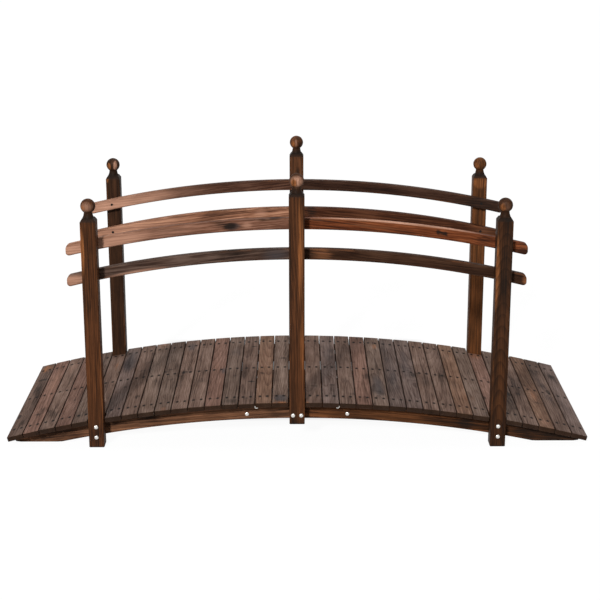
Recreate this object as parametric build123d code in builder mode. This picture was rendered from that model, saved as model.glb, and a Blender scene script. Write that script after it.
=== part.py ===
from build123d import *
import math
import os

# Arched timber garden footbridge, in millimetres.
# X runs along the bridge, Y across it and Z up, with the origin on the ground at mid span.

# Deck
deck_length = 2290.0
deck_width = 850.0
deck_radius = 4615.0
deck_end_height = 41.7
board_count = 35
board_thickness = 19.0
board_gap = 3.5
board_arris = 1.5
board_seat = 0.2

# Stringers
stringer_depth = 68.0
stringer_thickness = 40.0
stringer_end_inset = 12.0
stringer_toe = 4.0
joint_gap = 1.0

# Splice plates
splice_length = 440.0
splice_depth = 56.0
splice_thickness = 20.0

# Posts
post_width = 60.0
post_height = 913.0
post_arris = 2.0
post_station = 12
post_board_clearance = 2.0
middle_post_drop = 3.0
shoulder_height = 12.0
shoulder_inset = 7.5
finial_height = 74.0
ball_diameter = 57.0
neck_diameter = 32.0
neck_base_diameter = 44.0

# Handrails
rail_height = 44.0
rail_thickness = 30.0
rail_radius = 3850.0
rail_below_shoulder = 95.8
rail_spacing = 119.5
rail_overhang = 67.5
rail_end_radius = 13.0
rail_arris = 3.0

# Heads of the carriage bolts that hold the posts to the stringers
head_diameter = 17.0
head_height = 4.8
head_sides = 12
head_taper = 35.0
end_bolt_spacing = 43.0
middle_bolt_spacing = 32.0

# Arcs of the deck, of the stringers under it and of the line midway down the stringers
arc_centre = deck_end_height - math.sqrt(deck_radius**2 - (deck_length / 2) ** 2)
deck_crown = arc_centre + deck_radius
stringer_top_radius = deck_radius - board_thickness - board_seat
soffit_radius = stringer_top_radius - stringer_depth
stringer_middle_radius = stringer_top_radius - stringer_depth / 2

# Boards share out the arc of the deck
deck_angle = 2 * math.asin(deck_length / 2 / deck_radius)
board_width = (deck_angle * deck_radius - (board_count - 1) * board_gap) / board_count
board_angle = (board_width + board_gap) / deck_radius
last_board = (board_count - 1) // 2
short_board_length = deck_width - 2 * (post_width + post_board_clearance)

# Posts stand flush with the board ends, and stringers and rails are fixed to their inner faces
post_line = (deck_width - post_width) / 2
post_inner_face = deck_width / 2 - post_width
stringer_line = post_inner_face - stringer_thickness / 2
splice_line = post_inner_face - stringer_thickness - splice_thickness / 2
centre_splice_line = (stringer_thickness + splice_thickness) / 2
rail_line = post_inner_face - rail_thickness / 2
end_post_x = deck_radius * math.sin(post_station * board_angle)
middle_post_base = arc_centre + soffit_radius - middle_post_drop
rail_crown = middle_post_base + post_height - rail_below_shoulder
rail_reach = end_post_x + post_width / 2 + rail_overhang
shoulder_slope = math.degrees(math.atan2(shoulder_inset, shoulder_height))

LEFT, RIGHT = -1, 1
FRONT, BACK = -1, 1
SIDES = {"left": LEFT, "right": RIGHT}
FACES = {"front": FRONT, "back": BACK}


def height_on_arc(radius, x):
    return arc_centre + math.sqrt(radius**2 - x**2)


def radial_x(angle, z):
    """Where the line from the arc's centre at this angle off upright is at height z."""
    return (z - arc_centre) * math.tan(angle)


# Boards: flat planks laid square to the arc
def board_plane(index):
    angle = index * board_angle
    outward = (math.sin(angle), 0, math.cos(angle))
    along = (math.cos(angle), 0, -math.sin(angle))
    top = (deck_radius * outward[0], 0, arc_centre + deck_radius * outward[2])
    return Plane(origin=top, x_dir=along, z_dir=outward)


def lay_boards(first, last, length):
    with BuildPart() as boards:
        with Locations(*[board_plane(index).location for index in range(first, last + 1)]):
            Box(
                board_width,
                length,
                board_thickness,
                align=(Align.CENTER, Align.CENTER, Align.MAX),
            )
        chamfer(boards.edges().filter_by(Axis.Y), board_arris)
    return boards.part


# Stringers: the arc cut off flat where it meets the ground and square to itself at the tip
def stringer_half(side, y):
    tip_angle = deck_angle / 2 - stringer_end_inset / deck_radius
    near = side * joint_gap / 2
    with BuildPart() as stringer:
        with BuildSketch(Plane.XZ.offset(-y)) as profile:
            with Locations((0, arc_centre)):
                Circle(stringer_top_radius)
                Circle(soffit_radius, mode=Mode.SUBTRACT)
            Polygon(
                (near, 0),
                (side * radial_x(tip_angle, 0), 0),
                (side * radial_x(tip_angle, deck_crown), deck_crown),
                (near, deck_crown),
                align=None,
                mode=Mode.INTERSECT,
            )
            toe = profile.vertices().group_by(Axis.Y)[0].sort_by(Axis.X)
            chamfer(toe[-1] if side == RIGHT else toe[0], stringer_toe)
        extrude(amount=stringer_thickness / 2, both=True)
    return stringer.part


# Splice plates: a shallower piece of the same arc across the joint of two stringer halves
def splice_plate(y):
    end_angle = splice_length / 2 / stringer_middle_radius
    with BuildPart() as plate:
        with BuildSketch(Plane.XZ.offset(-y)):
            with Locations((0, arc_centre)):
                Circle(stringer_middle_radius + splice_depth / 2)
                Circle(stringer_middle_radius - splice_depth / 2, mode=Mode.SUBTRACT)
            Polygon(
                (-radial_x(end_angle, 0), 0),
                (radial_x(end_angle, 0), 0),
                (radial_x(end_angle, deck_crown), deck_crown),
                (-radial_x(end_angle, deck_crown), deck_crown),
                align=None,
                mode=Mode.INTERSECT,
            )
        extrude(amount=splice_thickness / 2, both=True)
    return plate.part


# Posts: square shaft, tapered shoulder, and a ball finial turned on the end
def turned_post(x, y, base):
    shoulder = base + post_height
    shaft_top = shoulder + shoulder_height
    ball_radius = ball_diameter / 2
    neck_radius = neck_diameter / 2
    neck_base_radius = neck_base_diameter / 2
    ball_centre = finial_height - ball_radius
    neck_height = ball_centre - math.sqrt(ball_radius**2 - neck_radius**2)
    with BuildPart() as post:
        with BuildSketch(Plane((x, y, base))) as section:
            Rectangle(post_width, post_width)
            chamfer(section.vertices(), post_arris)
        extrude(amount=post_height)
        with BuildSketch(Plane((x, y, shoulder))) as top:
            Rectangle(post_width, post_width)
            chamfer(top.vertices(), post_arris)
        extrude(amount=shoulder_height, taper=shoulder_slope)
        with BuildSketch(Plane(origin=(x, y, shaft_top), x_dir=(1, 0, 0), z_dir=(0, -1, 0))):
            with BuildLine():
                Polyline(
                    (0, finial_height),
                    (0, -shoulder_height / 2),
                    (neck_base_radius, -shoulder_height / 2),
                    (neck_base_radius, 0),
                    (neck_radius, neck_height),
                )
                ThreePointArc(
                    (neck_radius, neck_height),
                    (ball_radius, ball_centre),
                    (0, finial_height),
                )
            make_face()
        revolve(axis=Axis((x, y, 0), (0, 0, 1)))
    return post.part


# Handrails: two arcs a side on the posts' inner faces, in halves that meet at the middle post
def rail_half(side, y, drop):
    top_radius = rail_radius - drop
    rail_centre = rail_crown - rail_radius
    near = side * joint_gap / 2
    far = side * rail_reach
    with BuildPart() as rail:
        with BuildSketch(Plane.XZ.offset(-y)) as profile:
            with Locations((0, rail_centre)):
                Circle(top_radius)
                Circle(top_radius - rail_height, mode=Mode.SUBTRACT)
            Polygon(
                (near, 0),
                (far, 0),
                (far, rail_crown),
                (near, rail_crown),
                align=None,
                mode=Mode.INTERSECT,
            )
            ends = profile.vertices().group_by(Axis.X)
            fillet(ends[-1] if side == RIGHT else ends[0], rail_end_radius)
        extrude(amount=rail_thickness / 2, both=True)
        joint_face = rail.faces().sort_by(Axis.X)[0 if side == RIGHT else -1]
        long_edges = rail.faces().filter_by(Axis.Y).edges() - joint_face.edges()
        chamfer(long_edges, rail_arris)
    return rail.part


# Bolt heads: low domes on the outer faces of the posts, at the middle of the stringer behind
def bolt_heads(face):
    end_middle = height_on_arc(stringer_middle_radius, end_post_x)
    crown_middle = height_on_arc(stringer_middle_radius, 0)
    places = [(-middle_bolt_spacing / 2, crown_middle), (middle_bolt_spacing / 2, crown_middle)]
    for side in SIDES.values():
        places.append((side * end_post_x, end_middle - end_bolt_spacing / 2))
        places.append((side * end_post_x, end_middle + end_bolt_spacing / 2))
    with BuildPart() as head:
        with BuildSketch():
            RegularPolygon(head_diameter / 2, head_sides)
        extrude(amount=head_height, taper=head_taper)
    with BuildPart() as heads:
        for x, z in places:
            with Locations(Location((x, face * deck_width / 2, z), (-90 * face, 0, 0))):
                add(head.part)
    return heads.part


os.makedirs("parts", exist_ok=True)


def save(piece, name):
    piece.label = name
    export_step(piece, f"parts/{name}.step")


# Deck, in groups between the posts
deck_groups = {
    "boards_left_end": (-last_board, -post_station - 1, deck_width),
    "board_left_posts": (-post_station, -post_station, short_board_length),
    "boards_left_outer": (-post_station + 1, -post_station // 2, deck_width),
    "boards_left_inner": (-post_station // 2 + 1, -1, deck_width),
    "board_middle_posts": (0, 0, short_board_length),
    "boards_right_inner": (1, post_station // 2 - 1, deck_width),
    "boards_right_outer": (post_station // 2, post_station - 1, deck_width),
    "board_right_posts": (post_station, post_station, short_board_length),
    "boards_right_end": (post_station + 1, last_board, deck_width),
}
for name, (first, last, length) in deck_groups.items():
    save(lay_boards(first, last, length), name)

# Stringers and their splice plates
stringer_lines = {"front": -stringer_line, "centre": 0, "back": stringer_line}
for row, y in stringer_lines.items():
    for hand, side in SIDES.items():
        save(stringer_half(side, y), f"stringer_{row}_{hand}")
splice_lines = {"front": -splice_line, "centre": centre_splice_line, "back": splice_line}
for row, y in splice_lines.items():
    save(splice_plate(y), f"splice_{row}")

# Posts, handrails and bolt heads of each face
for face, direction in FACES.items():
    y = direction * post_line
    save(turned_post(-end_post_x, y, 0), f"post_{face}_left")
    save(turned_post(0, y, middle_post_base), f"post_{face}_middle")
    save(turned_post(end_post_x, y, 0), f"post_{face}_right")
    for level, drop in {"upper": 0, "lower": rail_spacing}.items():
        for hand, side in SIDES.items():
            rail = rail_half(side, direction * rail_line, drop)
            save(rail, f"rail_{face}_{level}_{hand}")
    save(bolt_heads(direction), f"post_bolts_{face}")
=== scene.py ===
import math
import random
from collections import namedtuple

import bmesh
import bpy
from bpy.props import FloatProperty, FloatVectorProperty, PointerProperty
from mathutils import Matrix, Vector


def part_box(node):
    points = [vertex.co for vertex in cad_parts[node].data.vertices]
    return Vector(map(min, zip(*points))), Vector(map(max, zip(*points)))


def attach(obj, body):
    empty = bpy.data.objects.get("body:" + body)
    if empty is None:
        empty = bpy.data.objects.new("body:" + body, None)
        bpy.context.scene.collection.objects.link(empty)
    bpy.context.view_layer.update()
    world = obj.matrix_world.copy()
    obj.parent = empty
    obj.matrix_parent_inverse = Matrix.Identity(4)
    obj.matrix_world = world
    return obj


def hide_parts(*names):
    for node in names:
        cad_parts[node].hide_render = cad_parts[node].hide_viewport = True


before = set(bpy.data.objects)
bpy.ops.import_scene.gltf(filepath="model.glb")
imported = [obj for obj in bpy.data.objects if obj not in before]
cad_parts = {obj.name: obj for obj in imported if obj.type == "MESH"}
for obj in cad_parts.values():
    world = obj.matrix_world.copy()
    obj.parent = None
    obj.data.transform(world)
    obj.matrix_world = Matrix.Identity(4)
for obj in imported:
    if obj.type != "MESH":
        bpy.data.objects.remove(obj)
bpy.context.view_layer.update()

bl_info = {
    "name": "Moon bridge",
    "version": (1, 0, 0),
    "blender": (4, 5, 0),
    "location": "3D View > Sidebar > Moon bridge",
    "description": "Dresses the packed model of an arched timber garden footbridge",
    "category": "Object",
}

SIDES = {"left": -1, "right": 1}
FACES = {"front": -1, "back": 1}


# Places that the frame gives, in metres
def middle_of(node):
    low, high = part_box(node)
    return (low + high) / 2


def size_of(node):
    low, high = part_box(node)
    return high - low


POST_STATION = 12
HALF_BAY = POST_STATION // 2
LAST_BOARD = 17
MIDDLE_BOARD = middle_of("board_middle_posts")
POST_BOARD = middle_of("board_right_posts")
BOARD_WIDTH = size_of("board_middle_posts").x
BOARD_THICKNESS = size_of("board_middle_posts").z
BOARD_DROP = MIDDLE_BOARD.z - POST_BOARD.z
BOARD_CENTRE_RADIUS = (POST_BOARD.x**2 + BOARD_DROP**2) / (2 * BOARD_DROP)
DECK_RADIUS = BOARD_CENTRE_RADIUS + BOARD_THICKNESS / 2
ARC_CENTRE = MIDDLE_BOARD.z - BOARD_CENTRE_RADIUS
BOARD_ANGLE = math.asin(POST_BOARD.x / BOARD_CENTRE_RADIUS) / POST_STATION
STRINGER_TOP_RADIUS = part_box("stringer_centre_right")[1].z - ARC_CENTRE
STRINGER_LINE = middle_of("stringer_back_right").y
STRINGER_ROWS = {"front": -STRINGER_LINE, "centre": 0.0, "back": STRINGER_LINE}
STRINGER_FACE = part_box("stringer_back_right")[1].y
STRINGER_THICKNESS = size_of("stringer_back_right").y
SPLICE_THICKNESS = size_of("splice_back").y
JOINT_GAP = 2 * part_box("stringer_back_right")[0].x
POST_WIDTH = size_of("post_front_left").x
POST_LINE = middle_of("post_back_left").y
POST_FACE = POST_LINE + POST_WIDTH / 2
END_POST_X = middle_of("post_back_right").x
RAIL_THICKNESS = size_of("rail_back_upper_right").y
RAIL_LINE = middle_of("rail_back_upper_right").y
RAIL_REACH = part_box("rail_back_upper_right")[1].x

# Boards are counted from the middle one, and the posts part them into groups
DECK_GROUPS = {
    "boards_left_end": range(-LAST_BOARD, -POST_STATION),
    "board_left_posts": [-POST_STATION],
    "boards_left_outer": range(1 - POST_STATION, 1 - HALF_BAY),
    "boards_left_inner": range(1 - HALF_BAY, 0),
    "board_middle_posts": [0],
    "boards_right_inner": range(1, HALF_BAY),
    "boards_right_outer": range(HALF_BAY, POST_STATION),
    "board_right_posts": [POST_STATION],
    "boards_right_end": range(POST_STATION + 1, LAST_BOARD + 1),
}
BOARD_NODES = {index: node for node, indices in DECK_GROUPS.items() for index in indices}


# Sizes and colours that a user would change
def measure(name, description, default):
    return FloatProperty(name=name, description=description, default=default, unit="LENGTH")


def amount(name, description, default, subtype="NONE"):
    return FloatProperty(name=name, description=description, default=default, subtype=subtype)


def paint(name, description, *default):
    return FloatVectorProperty(
        name=name, description=description, default=default, size=3, subtype="COLOR", min=0, max=1
    )


class TimberSizes(bpy.types.PropertyGroup):
    """Shapes of the timber that the boxes of the CAD nodes don't give."""

    board_edge: measure("Board edge", "Rounding of the boards' edges", 0.0018)
    board_trim: measure("Board trim", "Most that a board's end falls short of its full length", 0.0018)
    stringer_depth: measure("Stringer depth", "Depth of the stringers, square to the arc", 0.068)
    stringer_end_inset: measure("Stringer end inset", "How far they end inside the deck's ends", 0.012)
    stringer_toe: measure("Stringer toe", "Cut across the corner that meets the ground", 0.004)
    frame_edge: measure("Frame edge", "Rounding of the stringers' and plates' edges", 0.0015)
    splice_depth: measure("Splice depth", "Depth of the splice plates, square to the arc", 0.056)
    splice_length: measure("Splice length", "Length of the splice plates along the arc", 0.44)
    post_edge: measure("Post edge", "Rounding of the posts' long edges", 0.0028)
    rail_height: measure("Rail height", "Height of the handrails' section", 0.044)
    rail_radius: measure("Rail radius", "Radius of the upper handrail's top", 3.85)
    rail_edge: measure("Rail edge", "Rounding of the handrails' long edges", 0.0042)
    rail_end_radius: measure("Rail end radius", "Rounding of the handrails' ends", 0.0155)


class FixingSizes(bpy.types.PropertyGroup):
    """Nails, screws and bolts."""

    nail_head: measure("Nail head", "Diameter of the nails' heads", 0.0090)
    nail_spread: measure("Nail spread", "Distance between a board's two nails over a stringer", 0.030)
    screw_head: measure("Screw head", "Diameter of the handrail screws' heads", 0.0110)
    bolt_head: measure("Bolt head", "Diameter of the carriage bolts' domes", 0.017)
    bolt_dome: measure("Bolt dome", "Height of the carriage bolts' domes", 0.0048)
    bolt_thread: measure("Bolt thread", "Diameter of the carriage bolts", 0.008)
    nut_width: measure("Nut width", "Distance across the flats of the nuts", 0.013)
    washer: measure("Washer", "Diameter of the washers under the nuts", 0.020)


class WoodColours(bpy.types.PropertyGroup):
    """Stained and scorched fir."""

    deck_light: paint("Deck, brightest", "Boards' streaks that took little stain", 0.258, 0.174, 0.135)
    deck_early: paint("Deck, soft grain", "Most of the boards", 0.143, 0.089, 0.0668)
    deck_late: paint("Deck, hard grain", "Dark grain of the boards", 0.045, 0.0255, 0.018)
    frame_light: paint("Frame, brightest", "Streaks of the stringers", 0.230, 0.095, 0.042)
    frame_early: paint("Frame, soft grain", "Most of the stringers", 0.112, 0.046, 0.0205)
    frame_late: paint("Frame, hard grain", "Dark grain of the stringers", 0.028, 0.0115, 0.0055)
    post_light: paint("Post, brightest", "Streaks of the posts", 0.140, 0.048, 0.0175)
    post_early: paint("Post, soft grain", "Most of the posts", 0.066, 0.0235, 0.0088)
    post_late: paint("Post, hard grain", "Dark grain of the posts", 0.028, 0.0115, 0.0055)
    rail_light: paint("Rail, brightest", "Streaks of the handrails", 0.400, 0.205, 0.130)
    rail_early: paint("Rail, soft grain", "Most of the handrails", 0.185, 0.080, 0.046)
    rail_late: paint("Rail, hard grain", "Dark grain of the handrails", 0.045, 0.019, 0.012)
    # Char also paints the front right post's shadow on its handrail and the shade in the seams between boards
    char: paint("Char", "Wood that the flame has blackened", 0.0120, 0.0076, 0.0055)
    # Soaked also paints the long sides of the boards, as painted shade in the seams between them
    soaked_and_seam_shade: paint("Soaked", "End grain that took much stain", 0.024, 0.0098, 0.0038)
    # Flare also paints the highlights on the left of the posts' balls and a warm reflection on the deck
    flare: paint("Flare", "Orange wood that took little stain", 0.420, 0.150, 0.048)
    slate: paint("Slate", "Bluish smears on the boards", 0.060, 0.051, 0.052)
    # Pale also paints the highlight along the top edge of the front upper right handrail
    pale: paint("Pale", "Pinkish wood that took no stain", 0.620, 0.335, 0.225)


class StageSettings(bpy.types.PropertyGroup):
    """Camera, lamps and floor."""

    lens: amount("Lens", "Focal length of the camera, in millimetres", 86.72)
    camera_place: FloatVectorProperty(
        name="Camera", description="Place of the camera",
        default=(-0.00196, -5.73300, 2.20232), size=3, subtype="TRANSLATION", unit="LENGTH",
    )
    camera_pitch: amount("Pitch", "How far the camera looks down", 0.27704, "ANGLE")
    camera_turn: amount("Turn", "How far the camera turns to its left", -0.00051, "ANGLE")
    camera_roll: amount("Roll", "How far the camera leans", -0.00210, "ANGLE")
    key_strength: amount("Key lamp", "Strength of the lamp at the front left", 2.95)
    top_strength: amount("Top lamp", "Strength of the lamp overhead", 1.30)
    ambient: amount("Ambient", "Strength of the light from all round", 0.09)
    floor_tone: amount("Floor", "Share of the light that the floor throws back", 0.50)
    floor_glow: amount("Floor glow", "Strength of the floor's own light where it is seen", 1.13)
    glow_share: amount("Glow share", "How much of the seen floor is glow, away from the shadow", 0.84)


# Shader nodes
class Socket:
    """A shader's output socket. An expression on values adds its Math nodes."""

    def __init__(self, shader, socket):
        self.shader = shader
        self.socket = socket

    def output(self, name):
        return Socket(self.shader, self.socket.node.outputs[name])

    def __add__(self, other):
        return self.shader.maths("ADD", self, other)

    def __radd__(self, other):
        return self.shader.maths("ADD", other, self)

    def __sub__(self, other):
        return self.shader.maths("SUBTRACT", self, other)

    def __rsub__(self, other):
        return self.shader.maths("SUBTRACT", other, self)

    def __mul__(self, other):
        return self.shader.maths("MULTIPLY", self, other)

    def __rmul__(self, other):
        return self.shader.maths("MULTIPLY", other, self)

    def __truediv__(self, other):
        return self.shader.maths("DIVIDE", self, other)

    def __pow__(self, other):
        return self.shader.maths("POWER", self, other)

    def __abs__(self):
        return self.shader.maths("ABSOLUTE", self)


class Shader:
    """The nodes of one material or world."""

    def __init__(self, owner):
        owner.use_nodes = True
        self.tree = owner.node_tree
        self.tree.nodes.clear()

    def node(self, kind, settings=None, sockets=None, output=0):
        """Adds a node of this kind, with its settings first and then its sockets."""
        node = self.tree.nodes.new(kind)
        for name, value in (settings or {}).items():
            setattr(node, name, value)
        for name, value in (sockets or {}).items():
            if isinstance(value, Socket):
                self.tree.links.new(value.socket, node.inputs[name])
            else:
                node.inputs[name].default_value = value
        if node.outputs:
            return Socket(self, node.outputs[output])
        return None

    def maths(self, operation, *values):
        return self.node("ShaderNodeMath", {"operation": operation}, dict(enumerate(values)))

    def vector_maths(self, operation, *values, output=0):
        settings = {"operation": operation}
        return self.node("ShaderNodeVectorMath", settings, dict(enumerate(values)), output)

    def clamped(self, value):
        return self.node("ShaderNodeClamp", {}, {"Value": value})

    def step(self, value, low, high):
        """Rises smoothly from 0 at low to 1 at high, or falls where high is the lower."""
        sockets = {"Value": value, "From Min": low, "From Max": high}
        return self.node("ShaderNodeMapRange", {"interpolation_type": "SMOOTHSTEP"}, sockets)

    def attribute(self, name):
        return self.node("ShaderNodeAttribute", {"attribute_name": name}, output="Vector")

    def parts(self, vector):
        split = self.node("ShaderNodeSeparateXYZ", {}, {"Vector": vector})
        return split, split.output("Y"), split.output("Z")

    def noise(self, place, detail=2.0, roughness=0.5):
        sockets = {"Vector": place, "Scale": 1.0, "Detail": detail, "Roughness": roughness}
        return self.node("ShaderNodeTexNoise", {}, sockets)

    def mix(self, factor, first, second, blend="MIX"):
        settings = {"data_type": "RGBA", "blend_type": blend}
        return self.node("ShaderNodeMix", settings, {0: factor, 6: first, 7: second}, output=2)

    def coat(self, sockets, strength, distance, height):
        """Joins a Principled shader with these sockets and this relief to the output."""
        relief = {"Strength": strength, "Distance": distance, "Height": height}
        normal = self.node("ShaderNodeBump", {}, relief)
        surface = self.node("ShaderNodeBsdfPrincipled", {}, {**sockets, "Normal": normal})
        self.node("ShaderNodeOutputMaterial", {}, {"Surface": surface})


def opaque(colour):
    return (*colour, 1.0)


# Wood, as a solid texture: growth rings round a pith, fibres, knots, scorching and stain, with some painted
# highlights and shade
WOOD_LAYERS = ("grain", "seed", "pith", "marks", "tone", "wear")
NAIL_LAYERS = ("nails_across", "nails_along")
# Ring width and relief are in metres, and knots is the share of places that have one. The others
# are strengths
Finish = namedtuple(
    "Finish",
    "ring_width ring_depth band streak fibre cloud smoke knots edge_char edge_glow end_char gloss relief",
)
FINISHES = {
    "deck": Finish(
        ring_width=0.0065, ring_depth=0.35, band=0.6, streak=1.0, fibre=1.3, cloud=1.0, smoke=0.60,
        knots=0.5, edge_char=0.12, edge_glow=0.05, end_char=0.25, gloss=0.0, relief=0.0007,
    ),
    "frame": Finish(
        ring_width=0.009, ring_depth=0.45, band=1.1, streak=1.6, fibre=1.0, cloud=1.3, smoke=0.8,
        knots=0.35, edge_char=0.4, edge_glow=0.5, end_char=0.3, gloss=0.04, relief=0.0006,
    ),
    "post": Finish(
        ring_width=0.0055, ring_depth=0.4, band=0.8, streak=1.8, fibre=1.5, cloud=0.8, smoke=0.5,
        knots=0.04, edge_char=0.2, edge_glow=0.5, end_char=0.95, gloss=0.08, relief=0.0005,
    ),
    "rail": Finish(
        ring_width=0.008, ring_depth=0.4, band=0.8, streak=1.4, fibre=1.4, cloud=1.1, smoke=0.5,
        knots=0.4, edge_char=0.2, edge_glow=0.4, end_char=-0.1, gloss=0.06, relief=0.0005,
    ),
}


def wood_material(name, timber, colours, nails=None):
    """The finish of one timber. The layers that it reads are explained at Timber."""
    finish = FINISHES[timber]
    light_wood, early_wood, late_wood = (
        opaque(getattr(colours, f"{timber}_{shade}")) for shade in ("light", "early", "late")
    )
    material = bpy.data.materials.new(name)
    shader = Shader(material)
    grain = shader.attribute("grain")
    seed = shader.attribute("seed")
    along, across, depth = shader.parts(grain)
    pith_across, pith_depth, taper = shader.parts(shader.attribute("pith"))
    scorched_and_shaded, flared_and_highlit, smeared = shader.parts(shader.attribute("marks"))
    edge, end, pale_and_highlight_share = shader.parts(shader.attribute("wear"))

    def stretched(along_scale, across_scale):
        scales = (along_scale, across_scale, across_scale)
        return shader.vector_maths("MULTIPLY_ADD", grain, scales, seed)

    # Noises, by how fine each is along the grain and across it
    wander = shader.noise(stretched(1.7, 6.0), 1.0)
    patches = shader.noise(stretched(6.0, 16.0), 3.0, 0.6) - 0.5
    smoke = shader.noise(stretched(3.2, 12.0), 3.0, 0.6)
    bands = shader.noise(stretched(0.8, 27.0), 1.0) - 0.5
    streaks = shader.noise(stretched(2.2, 150.0), 2.0, 0.6) - 0.5
    fibres = shader.noise(stretched(12.0, 420.0), 2.0, 0.6) - 0.5

    cells = shader.node(
        "ShaderNodeTexVoronoi", {}, {"Vector": stretched(3.4, 9.0), "Scale": 1.0, "Randomness": 1.0}
    )
    choice = shader.node("ShaderNodeSeparateColor", {}, {"Color": cells.output("Color")})
    chosen = shader.step(choice, 1 - finish.knots, 1.02 - finish.knots)
    pull = shader.step(cells, 0.42, 0.0) * chosen
    knot = shader.step(cells + patches * 0.08, 0.105, 0.06) * chosen

    off_across = across - pith_across
    off_depth = depth - pith_depth
    from_pith = (off_across * off_across + off_depth * off_depth) ** 0.5
    ring_place = from_pith + along * taper + wander * 0.024 + pull * 0.020
    ring = shader.maths("FRACT", ring_place / finish.ring_width)
    late = ring**2.2 * shader.step(ring, 1.0, 0.93)

    darkness = shader.clamped(
        (late - 0.3) * finish.ring_depth
        + bands * finish.band
        + streaks * finish.streak
        + fibres * finish.fibre
        + patches * finish.cloud
        + 0.5
    )
    wood = shader.mix(shader.clamped(darkness * 2), light_wood, early_wood)
    wood = shader.mix(shader.clamped(darkness * 2 - 1), wood, late_wood)
    wood = shader.mix(1.0, wood, shader.attribute("tone"), "MULTIPLY")

    # Pale wood, and the painted highlight along the front upper right handrail's top edge
    pale_and_highlight_amount = shader.step(pale_and_highlight_share + patches * 0.6 + streaks * 0.6, 0.1, 1.0)
    pale_and_highlight_wood = shader.mix(darkness * 0.7, opaque(colours.pale), early_wood)
    wood = shader.mix(pale_and_highlight_amount, wood, pale_and_highlight_wood)
    glow = edge * finish.edge_glow * shader.step(patches + streaks * 0.5, 0.0, 0.15)
    # Orange flares, with the painted highlights on the balls and the painted reflection on board 12
    flare_and_highlight_amount = shader.step(flared_and_highlit + patches * 0.7 + streaks * 0.9, 0.2, 0.9)
    flare_and_highlight_wood = shader.mix(darkness, opaque(colours.flare), early_wood)
    wood = shader.mix(shader.clamped(flare_and_highlight_amount + glow), wood, flare_and_highlight_wood)
    slate_amount = shader.step(smeared + patches * 0.9, 0.25, 0.95) * 0.8
    wood = shader.mix(slate_amount, wood, opaque(colours.slate))
    # End grain soaks up stain; on the long sides of the boards this paints the shade in the seams
    wood = shader.mix(shader.clamped(end * 0.9), wood, opaque(colours.soaked_and_seam_shade))

    # Scorch marks, and the painted shadow of the front right post on its handrail
    burnt_and_shaded = shader.step(scorched_and_shaded + patches * 1.3 + streaks * 0.6 + fibres * 0.5, 0.20, 1.0)
    smoked = shader.step(smoke + streaks * 0.35, 0.53, 0.80) * finish.smoke
    worn = edge * finish.edge_char * shader.step(patches, -0.2, 0.1)
    char_and_shade_amount = burnt_and_shaded + smoked + worn + knot * 0.8 + end * (patches * 0.9 + finish.end_char)
    if nails:
        char_and_shade_amount = char_and_shade_amount + nail_stains(shader, across, along, nails, fibres)
    wood = shader.mix(shader.clamped(char_and_shade_amount) * 0.94, wood, opaque(colours.char))

    rough = fibres * 0.3 + patches * 0.25 + (0.66 - finish.gloss)
    height = (1 - late) * 0.5 + fibres * 0.35 + streaks * 0.5 - knot * 0.3
    sockets = {"Base Color": wood, "Roughness": shader.clamped(rough), "Specular IOR Level": 0.06}
    shader.coat(sockets, 1.0, finish.relief, height)
    return material


def nail_stains(shader, across, along, spread, fibres):
    """Dark halos round the nails, whose places the layers nails_across and nails_along give."""
    places = zip(*(shader.parts(shader.attribute(layer)) for layer in NAIL_LAYERS))
    nearest = None
    for nail_across, nail_along in places:
        aside = abs(across - nail_across) - spread / 2
        ahead = (along - nail_along) * 0.6
        distance = (aside * aside + ahead * ahead) ** 0.5
        nearest = distance if nearest is None else shader.maths("MINIMUM", nearest, distance)
    return shader.step(nearest + fibres * 0.006, 0.0090, 0.0030)


def metal_material(name, colour, metallic, roughness, speckle, specular=0.5):
    """Plated or blued steel with dull specks and fine scratches."""
    material = bpy.data.materials.new(name)
    shader = Shader(material)
    place = shader.node("ShaderNodeTexCoord", output="Object")
    specks = shader.noise(shader.vector_maths("MULTIPLY", place, (900.0, 900.0, 900.0)), 3.0, 0.6)
    scuffs = shader.noise(shader.vector_maths("MULTIPLY", place, (400.0, 3000.0, 3000.0)), 2.0)
    dull = tuple(channel * speckle for channel in colour)
    tint = shader.mix(shader.step(specks, 0.4, 0.75), opaque(colour), opaque(dull))
    sockets = {
        "Base Color": tint,
        "Metallic": metallic,
        "Specular IOR Level": specular,
        "Roughness": shader.clamped(specks * 0.3 + (roughness - 0.15)),
    }
    shader.coat(sockets, 0.6, 0.0002, scuffs)
    return material


# Meshes
Spot = namedtuple("Spot", "place grain site edge end")
Wood = namedtuple("Wood", "seed pith tone marks")
Mark = namedtuple("Mark", "kind centre reach strength")
MARK_KINDS = {"scorch": 0, "flare": 1, "slate": 2, "pale": 3}


def marks_at(site, marks):
    """How much scorch, flare, slate and pale marking lies at this place of the wood's length. Some marks
    paint a shadow, highlights and a reflection.
    """
    amounts = [0.0, 0.0, 0.0, 0.0]
    for mark in marks:
        offsets = (
            (value - centre) / reach
            for value, centre, reach in zip(site, mark.centre, mark.reach)
        )
        fade = max(0.0, 1.0 - sum(offset * offset for offset in offsets))
        kind = MARK_KINDS[mark.kind]
        amounts[kind] = min(1.2, amounts[kind] + fade * mark.strength)
    return amounts


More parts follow.
